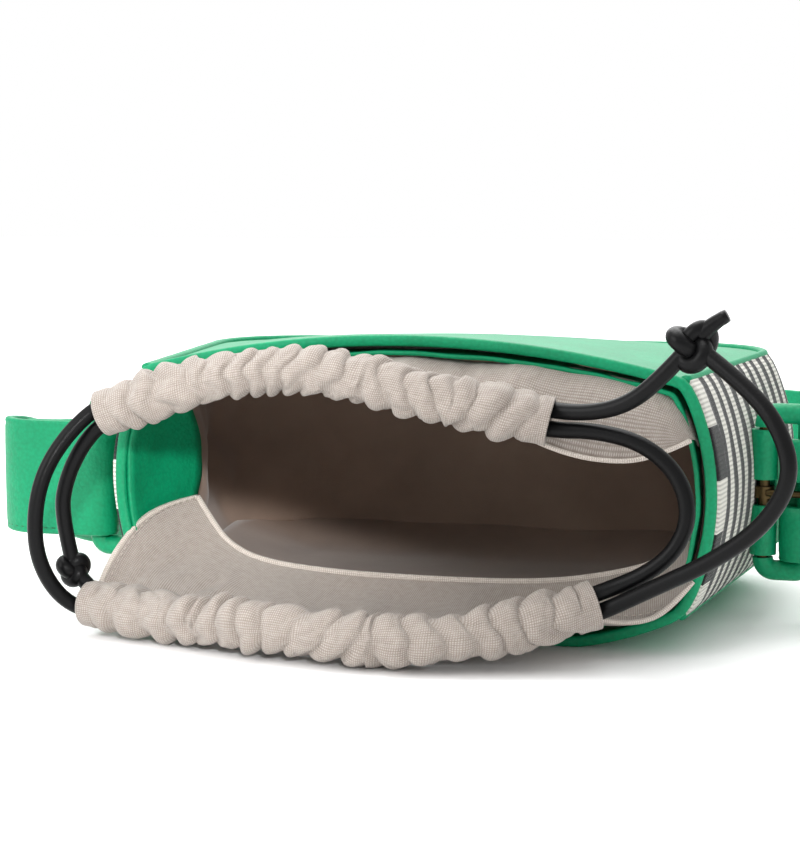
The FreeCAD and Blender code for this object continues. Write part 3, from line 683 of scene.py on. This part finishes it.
def facing_strip(name, wanted, depth, stands_for, tapered=False):
    """A stretch of the leather facing just inside the mouth."""
    line = [place for place in facing_line if wanted(place)]
    centre = sum((place.x for place in line)) / len(line)
    line.sort(key=(lambda place: place.x) if abs(centre) < 20 * mm else (lambda place: place.z))
    stations = stations_on(line, up=Vector((0, 1, 0)))
    start, shallow = -8.5 * mm, 0.42
    reach = [start + depth * step / 10 for step in range(11)]

    def facing_profile(index):
        deeper = shallow + 0.58 * math.sin(math.pi * index / (len(line) - 1)) if tapered else 1
        inward, meet = (-17 * mm * (deeper - shallow), 1.9 * mm) if tapered else (0, 0)
        profile = []
        for y in reach:
            share = (y - start) / depth
            ripple = 0.5 * mm * noise.noise(Vector((index * 0.3, y * 90, centre * 50)))
            profile.append((ripple + meet * (1 - share) + inward * share ** 1.6,
                            start + (y - start) * deeper))
        return profile

    strip = drawn(name, stations, facing_profile, closed=False)
    thicken(strip, 1.4 * mm, offset=0.0)
    finish_piece(strip, green_leather, "green_leather", "bag", stands_for)


facing_strip("left_facing_leather", lambda p: p.x < -86 * mm and 15 * mm < p.z < 85 * mm,
             40 * mm, "left_facing", tapered=True)
facing_strip("right_facing_leather", lambda p: p.x > 86 * mm and 15 * mm < p.z < 85 * mm,
             18 * mm, "right_facing")
facing_strip("front_facing_leather", lambda p: p.z > 82 * mm, 16 * mm, "front_facing")
facing_strip("back_facing_leather", lambda p: p.z < 14 * mm, 16 * mm, "back_facing")

# ------------------------------------------------------------------ gathered tunnels
# The collar's free edges are sewn into tunnels. Drawn up on their cords they
# scrunch into slanting puffs with sharp creases, and open at both hemmed ends.
canvas = finish_with("natural_canvas", 0.9, 0.2)
canvas_nodes, canvas_links = canvas.node_tree.nodes, canvas.node_tree.links
canvas_lie = canvas_nodes.new("ShaderNodeUVMap")
canvas_lie.uv_map = "lie"
canvas_cross = canvas_nodes.new("ShaderNodeMath")
canvas_cross.operation = "MULTIPLY"
for direction, crossing in zip(("X", "Y"), canvas_cross.inputs):
    thread = canvas_nodes.new("ShaderNodeTexWave")
    thread.wave_type = "BANDS"
    thread.bands_direction = direction
    thread.inputs["Scale"].default_value = 430
    thread.inputs["Distortion"].default_value = 0.8
    thread.inputs["Detail Scale"].default_value = 0.6
    canvas_links.new(canvas_lie.outputs["UV"], thread.inputs["Vector"])
    canvas_links.new(thread.outputs["Fac"], crossing)
canvas_slub = mottle(canvas, canvas_lie.outputs["UV"], 420, 4)
canvas_tone = lay_over(canvas, canvas_slub, 0.5, canvas_cross.outputs[0])
canvas_ramp = two_tone(canvas, canvas_tone, (0.40, 0.335, 0.285), (0.72, 0.66, 0.60), 0.1, 0.9)
press_in(canvas, canvas_tone, 0.9, 0.22 * mm)
# A darker copy of the canvas: painted shade for the tunnels and the collar flaps. The hems keep the lighter
# canvas.
shade_painted_canvas = canvas.copy()
shade_painted_canvas.name = "shade_painted_canvas"
shade_painted_ramp = shade_painted_canvas.node_tree.nodes[canvas_ramp.name].color_ramp
shade_painted_ramp.elements[0].color = (0.215, 0.175, 0.148, 1)
shade_painted_ramp.elements[1].color = (0.46, 0.412, 0.37, 1)

tunnel_radius, tunnel_sides, tunnel_step = 8.2 * mm, 90, 0.62 * mm


def gathered_tunnel(name, guide, seed, puff, stands_for):
    """A tunnel of cloth along its guide, pushed up into slanting puffs and creases."""
    line = even_steps([v.co.copy() for v in spline_of(guide, 0).vertices], tunnel_step)
    stations = stations_on(line)
    length = tunnel_step * len(line)

    def ring(index):
        place, side, up = stations[index]
        ahead = up.cross(side)
        distance = index * tunnel_step
        end = min(distance, length - distance)
        loose = min(1, max(0, end - 3 * mm) / (9 * mm)) ** 0.8
        points = []
        for k in range(tunnel_sides):
            angle = 2 * math.pi * k / tunnel_sides
            drift = noise.noise(Vector((distance * 34, math.cos(angle) * 0.8,
                                        math.sin(angle) * 0.8 + seed)))
            way = 1 if noise.noise(Vector((distance * 16, seed, 5))) > 0 else -1
            slant_way = 3.2 * mm * way * math.sin(angle + 0.6) + 5.0 * mm * drift
            pace = 2.2 * noise.noise(Vector((distance * 28, seed, 0)))
            crest = abs(math.sin(math.pi * (distance + slant_way) / puff + pace)) ** 0.62
            here = Vector(((distance + slant_way) / (1.25 * puff), math.cos(angle) * 0.55 + seed,
                           math.sin(angle) * 0.55))
            near, second = noise.voronoi(here)[0][:2]
            puffed = min(1, (second - near) * 1.3) ** 0.75
            big = noise.noise(Vector((distance * 42, math.cos(angle) * 0.7, math.sin(angle) + seed)))
            radius = tunnel_radius + (0.62 * crest + 0.38 * puffed - 0.62) * 4.6 * mm * loose
            radius = max(6.9 * mm, radius + 1.6 * mm * big * loose)
            lean = 2.0 * mm * crest * loose * math.cos(angle - 1.0)
            point = place + side * radius * math.cos(angle)
            point += up * radius * 0.95 * math.sin(angle) + ahead * lean
            point.z = max(point.z, 0.3 * mm)
            points.append(point)
        return points

    tunnel = drawn(name, [(None, None, None)] * len(line), ring)
    thicken(tunnel, 0.9 * mm)
    return finish_piece(tunnel, shade_painted_canvas, "collar_cloth", "bag", stands_for)


front_guide = [(-98.5, -97, 74.5), (-80, -97, 81), (-60, -97, 87.5), (-33, -97, 91.8), (-12, -99, 89),
               (12, -102, 84), (34, -103, 81), (53.5, -101, 76.5)]
back_guide = [(-103.5, -99, 10.4), (-88, -103, 9.6), (-62, -112, 9.9), (-36, -119, 10.6), (-8, -123.5, 9.4),
              (18, -124, 9.4), (44, -117, 13), (69, -106.5, 20.5)]

front_tunnel = gathered_tunnel("front_tunnel", front_guide, 0.4, 8.6 * mm, "front_casing")
back_tunnel = gathered_tunnel("back_tunnel", back_guide, 5.2, 9.4 * mm, "back_casing")

# ------------------------------------------------------------------ collar cloth
# Each half of the collar is a canvas flap. It is sewn in behind the binding,
# passes over the mouth's edge and ends in its tunnel; its free sides are hemmed.
def smooth_line(points, count):
    """An even row of points along a smooth guide, in metres."""
    line = [vertex.co.copy() for vertex in spline_of(points, 0).vertices]
    length = sum((b - a).length for a, b in zip(line, line[1:]))
    return even_steps(line, length / count)[:count + 1]


def collar_flap(name, seam, middle, edge, seed, gathered_to, stands_for):
    """Cloth through three guides: its seam inside, the mouth's edge and its tunnel."""
    columns, rows = 170, 34
    seam, middle, edge = (smooth_line(guide, columns) for guide in (seam, middle, edge))

    def column(index):
        a, m, b = seam[index], middle[index], edge[index]
        share = index / columns
        pulled = max(0, min(1, (gathered_to - share) / 0.08)) * min(1, share / 0.06)
        places = []
        for step in range(rows + 1):
            v = step / rows
            place = a * ((1 - v) * (1 - 2 * v)) + m * (4 * v * (1 - v)) + b * (v * (2 * v - 1))
            run = Vector((share * 22 + 0.5 * noise.noise(Vector((v * 3, seed, share * 5))),
                          v * 0.9, seed))
            pleat = noise.noise(run) * 1.5 + noise.noise(run * 2.1) * 0.8
            slack = 1.7 * noise.noise(Vector((share * 9, v * 1.6, seed + 4)))
            lift = (1.5 * pleat * v ** 1.4 * pulled + slack * math.sin(math.pi * v)) * 1.5 * mm
            places.append(place + Vector((0, -0.5, 0.87)) * lift)
        return places

    flap = drawn(name, [(None, None, None)] * (columns + 1), column, closed=False)
    thicken(flap, 0.8 * mm, offset=0.0)
    finish_piece(flap, shade_painted_canvas, "collar_cloth", "bag", stands_for)
    return flap, edge, column(0), seam


front_flap, front_edge = collar_flap(
    "front_collar_cloth",
    [(-90, -66, 76), (-86, -66, 82), (-72, -66, 86), (-50, -66, 89), (-25, -66, 91.2),
     (5, -66, 91.6), (35, -66, 90), (60, -66, 87.5), (78, -66, 84), (88, -66, 80), (93.5, -67, 73.5),
     (96, -69, 66)],
    [(-95, -78, 75), (-86, -78, 81.5), (-70, -78, 87), (-50, -78, 90.5), (-22, -78, 92.5),
     (0, -79, 92.5), (25, -79, 91), (50, -79, 88.5), (70, -79, 86), (85, -78, 82.5), (92, -77.5, 77.5),
     (95.5, -76, 70)],
    [(-99, -90, 75), (-85, -89.5, 80.5), (-60, -89.5, 87.5), (-33, -89.5, 91.3), (-8, -92, 87.5),
     (16, -94.5, 81.5), (36, -95.5, 75.5), (52, -96, 67.5), (68, -94, 63.6), (83, -90, 64),
     (94.4, -80, 69.4)], 2.3, 0.74, "front_collar")[:2]
back_flap, back_edge, back_side, back_join = collar_flap(
    "back_collar_cloth",
    [(-81.5, -55, 41), (-75.5, -57, 33), (-68, -60, 25.5), (-56, -60, 20), (-31, -60, 17.4),
     (5, -60, 16.6), (45, -60, 17.4), (70, -60, 22), (84, -61, 27), (93, -62, 34)],
    [(-97, -76, 32), (-90, -77, 25), (-75, -77.5, 16.5), (-54, -78, 10.5), (-22, -78, 8),
     (14, -78, 7.5), (50, -78, 8), (72, -78, 11), (87, -78, 16), (95, -77, 26)],
    [(-103, -93, 13.5), (-90, -95.5, 12.5), (-62, -102.5, 11), (-36, -109.5, 10.6), (-8, -114, 9.2),
     (18, -114.5, 9.2), (44, -108, 12), (65, -99, 14.5), (79, -89, 11), (89, -82, 14.5), (96, -79, 24)],
    7.1, 0.76, "back_collar")


def hem(name, line, width):
    """A turned and stitched edge: the cloth folded over itself along a free side."""
    line = even_steps(line, 1.2 * mm)
    fold = drawn(name, stations_on(line), lambda i: pillow_profile(
        2.1 * mm + 0.3 * mm * noise.noise(Vector((i * 0.5, width * 900, 0))), width), capped=True)
    return finish_piece(fold, canvas, "collar_cloth", "bag")


def stitch_row(name, line, thread, material, slot_name, body, spacing=2.6 * mm):
    """Sewing thread along a line, one short rounded stitch after another."""
    sewing = bmesh.new()
    spots = even_steps(line, spacing)
    pairs = list(zip(spots, spots[1:]))
    data = bpy.data.meshes.new(name)
    for first in range(0, len(pairs), 40):
        run = bmesh.new()
        for a, b in pairs[first:first + 40]:
            turn = (b - a).to_track_quat("Z", "Y").to_matrix().to_4x4()
            size = Matrix.Diagonal((thread, thread, (b - a).length * 0.31, 1))
            bmesh.ops.create_uvsphere(run, u_segments=6, v_segments=4, radius=1,
                                      matrix=Matrix.Translation((a + b) / 2) @ turn @ size)
        run.to_mesh(data)
        run.free()
        sewing.from_mesh(data)
    sewing.to_mesh(data)
    sewing.free()
    data.shade_smooth()
    row = bpy.data.objects.new(name, data)
    bpy.context.collection.objects.link(row)
    return finish_piece(row, material, slot_name, body)


canvas_thread = leather_finish("canvas_thread", (0.42, 0.36, 0.31), (0.55, 0.48, 0.43), 0.7,
                               0.3 * mm, 0.02 * mm)
front_trim = [hem("front_collar_hem", front_edge[122:], 1.5 * mm)]
back_trim = [hem("back_collar_hem", back_edge[128:], 1.5 * mm),
             hem("back_collar_side_hem", back_side, 1.5 * mm),
             hem("back_collar_seam", back_join, 2.2 * mm)]
inside_hem = Vector((0, 3.4, 1.5)) * mm
front_trim.append(stitch_row("front_hem_stitches", [place + inside_hem for place in front_edge[124:]],
                             0.28 * mm, canvas_thread, "collar_cloth", "bag"))
back_trim.append(stitch_row("back_hem_stitches", [place + inside_hem for place in back_edge[130:]],
                            0.28 * mm, canvas_thread, "collar_cloth", "bag"))
beside_hem = Vector((3.2, -0.4, 0.9)) * mm
back_trim.append(stitch_row("back_side_stitches", [place + beside_hem for place in back_side[2:-3]],
                            0.28 * mm, canvas_thread, "collar_cloth", "bag"))

# ------------------------------------------------------------------ knots
# The outer cord is tied in an overhand knot with a short cut tail; the inner
# cord in a tight ball of a knot with its ends tucked in.
def tied_knot(name, centre, facing, scale, width, body, stands_for):
    """An overhand knot pulled snug: one cord that passes through its own loop."""
    turn = Vector(facing).to_track_quat("Z", "Y").to_matrix()
    loop, count = [], 90
    for k in range(count):
        t = 2 * math.pi * k / count
        loop.append(Vector(centre) + turn @ (Vector((
            math.sin(t) + 2 * math.sin(2 * t), math.cos(t) - 2 * math.cos(2 * t),
            -1.25 * math.sin(3 * t))) * scale))
    stations = []
    for i, place in enumerate(loop):
        ahead = (loop[(i + 1) % count] - loop[i - 1]).normalized()
        side = ahead.cross(Vector((0.31, -0.83, 0.46))).normalized()
        stations.append((place, side, side.cross(ahead)))
    knot = drawn(name, stations, lambda i: round_profile(width / 2), loop=True)
    return finish_piece(knot, black_leather, "black_leather", body, stands_for)


right_centre = Vector((98.5, -111, 102)) * mm
left_centre = Vector((-110, -97.5, 21.5)) * mm
tied_knot("right_knot_cord", right_centre, (0.3, -0.85, 0.45), 2.05 * mm, 5.5 * mm,
          "right_knot", "right_knot")
tied_knot("left_knot_cord", left_centre, (0.5, -0.8, 0.35), 1.15 * mm, 5.8 * mm,
          "left_knot", "left_knot")
tail_way = Vector((0.62, 0, 0.78)).normalized()
tail_line = [right_centre + tail_way * (3 + 1.3 * step) * mm
             + Vector((0.25, 0, -0.2)) * mm * step * step / 9 for step in range(9)]
cord_tail = drawn("right_knot_tail", stations_on(tail_line), lambda i: round_profile(
    cord_width / 2 * (1 + 0.08 * (i > 6)), 14, 1 - 0.3 * (i / 8) ** 2), capped=True)
finish_piece(cord_tail, black_leather, "black_leather", "right_knot")

# ------------------------------------------------------------------ rings, tabs and prong
# A gilt wire rectangle hangs at each side from a folded leather tab. Its rails
# and outer bar are wrapped in the same leather; the right one carries a prong.
# Painted shade: the gilt is coloured far darker than bright gilt, so the rings and the prong read as lying
# in shade.
gilt = finish_with("worn_gilt", 0.42)
gilt.node_tree.nodes["Principled BSDF"].inputs["Metallic"].default_value = 1.0
gilt_place = gilt.node_tree.nodes.new("ShaderNodeTexCoord").outputs["Object"]
two_tone(gilt, mottle(gilt, gilt_place, 300), (0.06, 0.04, 0.018), (0.10, 0.072, 0.032))


def refinish(node, material):
    """Gives a solid that keeps its own shape its material."""
    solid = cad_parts[node]
    solid.data.materials.clear()
    solid.data.materials.append(material)


for node in ("left_ring_wire", "right_buckle_wire", "buckle_prong"):
    refinish(node, gilt)
for node in ("left_ring_cover", "right_buckle_cover", "left_tab", "right_tab"):
    refinish(node, green_leather)

stiff_board = leather_finish("grey_board", (0.30, 0.29, 0.27), (0.38, 0.37, 0.34), 0.9, 0.6 * mm,
                             0.02 * mm)
for node in ("front_board", "back_board", "base_board"):
    refinish(node, stiff_board)

# ------------------------------------------------------------------ shoulder strap
# Two green leathers sewn back to back. Each end goes round a ring's outer bar
# and is sewn down; the strap bends back beside the bag and lies behind it.
strap_thick, strap_wide = 3.4 * mm, 42 * mm
loop_mid = 5.5 * mm
left_bar, right_bar = Vector((-126.455, -37, 0)) * mm, Vector((128.055, -25, 0)) * mm
bend_reach, bend_radius = 46 * mm, 16 * mm
left_leg, right_leg = left_bar.x - 39 * mm, right_bar.x + bend_reach
half_circle, straight_end = (right_leg - left_leg) / 2, 240 * mm


def arc_points(centre, radius, start, stop, count):
    """Points on an arc in the floor plane, angles in degrees."""
    return [Vector((centre.x + radius * math.cos(math.radians(start + (stop - start) * k / count)),
                    centre.y + radius * math.sin(math.radians(start + (stop - start) * k / count)),
                    0)) for k in range(count + 1)]


def strap_end(bar, hand):
    """From the sewn-down end, round the bar and out to the bend, on one side."""
    def at(x, y):
        return Vector((bar.x + hand * x * mm, bar.y + y * mm, 0))

    returned = [at(27, -2.1), at(22, -2.1), at(17.5, -1.9), at(13, -0.6), at(9.5, 1.9), at(6, 4.3),
                at(2.5, 5.4)]
    turn = arc_points(bar, loop_mid, 90, 270, 14)
    if hand > 0:
        stretch = Vector((-2.2 * mm, 0, 0))
        turn = [place + stretch for place in turn]
    else:
        turn = [Vector((2 * bar.x - place.x, place.y, 0)) for place in turn]
    outward = [at(x, -5.5) for x in (4, 9, 14, 20)]
    leg = left_leg if hand < 0 else right_leg
    bend_centre = Vector((leg - hand * bend_radius, bar.y - loop_mid + bend_radius, 0))
    bend = arc_points(bend_centre, bend_radius, 270, 360, 12)
    if hand < 0:
        bend = [Vector((2 * bend_centre.x - place.x, place.y, 0)) for place in bend]
    return returned + turn + outward + bend


strap_line = strap_end(left_bar, -1)
strap_line += arc_points(Vector(((left_leg + right_leg) / 2, straight_end, 0)), half_circle, 180, 0, 60)
strap_line += list(reversed(strap_end(right_bar, 1)))
strap_line = even_steps(strap_line, 1.5 * mm)
for _ in range(2):
    strap_line = [strap_line[0]] + [(a + b * 2 + c) / 4 for a, b, c in zip(
        strap_line, strap_line[1:], strap_line[2:])] + [strap_line[-1]]


def strap_middle(place):
    """Height of the strap's middle: level at the rings, down to the floor behind."""
    at_rings, on_floor, ring_y = 44 * mm, 21.3 * mm, -36 * mm
    share = max(0, min(1, (place.y - ring_y) / (bag_depth / 2 - ring_y)))
    smooth = share * share * (3 - 2 * share)
    return at_rings + (on_floor - at_rings) * smooth


strap_stations = [(place + Vector((0, 0, strap_middle(place))), side, up)
                  for place, side, up in stations_on(strap_line)]


def strap_profile(index):
    """Two leathers with softened edges, a little fuller between the seams."""
    ripple = 0.25 * mm * noise.noise(Vector((index * 0.05, 3.1, 0)))
    half, edge = strap_wide / 2, 1.1 * mm
    rows = [-half, -half + edge * 0.35, -half + edge, -half + 2.2 * mm, -half + 3.4 * mm,
            -half / 2, 0, half / 2, half - 3.4 * mm, half - 2.2 * mm, half - edge,
            half - edge * 0.35, half]
    skin = [0.45, 0.8, 0.97, 0.86, 1.0, 1.06, 1.08, 1.06, 1.0, 0.86, 0.97, 0.8, 0.45]
    front = [(-strap_thick / 2 * s + ripple, z) for z, s in zip(rows, skin)]
    return front + [(strap_thick / 2 * s + ripple, z) for z, s in reversed(list(zip(rows, skin)))]


strap_piece = drawn("shoulder_strap", strap_stations, strap_profile, capped=True)

# The slot lets the prong through the right end loop at every angle it swings to.
slot_cut = bmesh.new()
bmesh.ops.create_cube(slot_cut, size=1, matrix=Matrix.Translation(
    right_bar + Vector((-1, -8.15, 46)) * mm) @ Matrix.Diagonal((22 * mm, 23.7 * mm, 9 * mm, 1)))
slot_data = bpy.data.meshes.new("slot_punch")
slot_cut.to_mesh(slot_data)
slot_cut.free()
slot_punch = bpy.data.objects.new("slot_punch", slot_data)
bpy.context.collection.objects.link(slot_punch)
punched = strap_piece.modifiers.new("slot", "BOOLEAN")
punched.object = slot_punch
punched.solver = "EXACT"
bpy.context.view_layer.update()
pierced = bpy.data.meshes.new_from_object(strap_piece.evaluated_get(
    bpy.context.evaluated_depsgraph_get()))
strap_piece.modifiers.clear()
strap_piece.data = pierced
bpy.data.objects.remove(slot_punch)
pierced.materials.clear()
finish_piece(strap_piece, green_leather, "green_leather", "strap", "strap")

green_thread = leather_finish("green_thread", (0.001, 0.13, 0.05), (0.002, 0.18, 0.07), 0.6,
                              0.3 * mm, 0.02 * mm)
stitch_row("strap_stitches", [
    place - up * 18.6 * mm - side * (strap_thick / 2 * 0.9)
    for place, side, up in strap_stations[38:-38]], 0.28 * mm, green_thread, "green_leather",
    "strap", spacing=3.2 * mm)

keeper_low, keeper_high = (Vector(corner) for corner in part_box("strap_keeper"))
keeper_middle = (keeper_low + keeper_high) / 2
keeper_half = (keeper_high - keeper_low) / 2


def keeper_profile(index):
    """The keeper's section lengthways: a flat strip with softened edges."""
    return [(0.75 * mm * math.sin(a), keeper_half.x * 0.98 * math.copysign(
        abs(math.cos(a)) ** 0.35, math.cos(a))) for a in (2 * math.pi * k / 16 for k in range(16))]


keeper_ring = []
for k in range(72):
    a = 2 * math.pi * k / 72
    keeper_ring.append(keeper_middle + Vector((
        0, (keeper_half.y - 0.8 * mm) * math.copysign(abs(math.sin(a)) ** 0.35, math.sin(a)),
        (keeper_half.z - 0.8 * mm) * math.copysign(abs(math.cos(a)) ** 0.12, math.cos(a)))))
keeper = drawn("strap_keeper_leather", stations_on(even_steps(keeper_ring, 1.5 * mm, loop=True),
                                                   up=Vector((1, 0, 0)), loop=True),
               keeper_profile, loop=True)
finish_piece(keeper, green_leather, "green_leather", "strap", "strap_keeper")
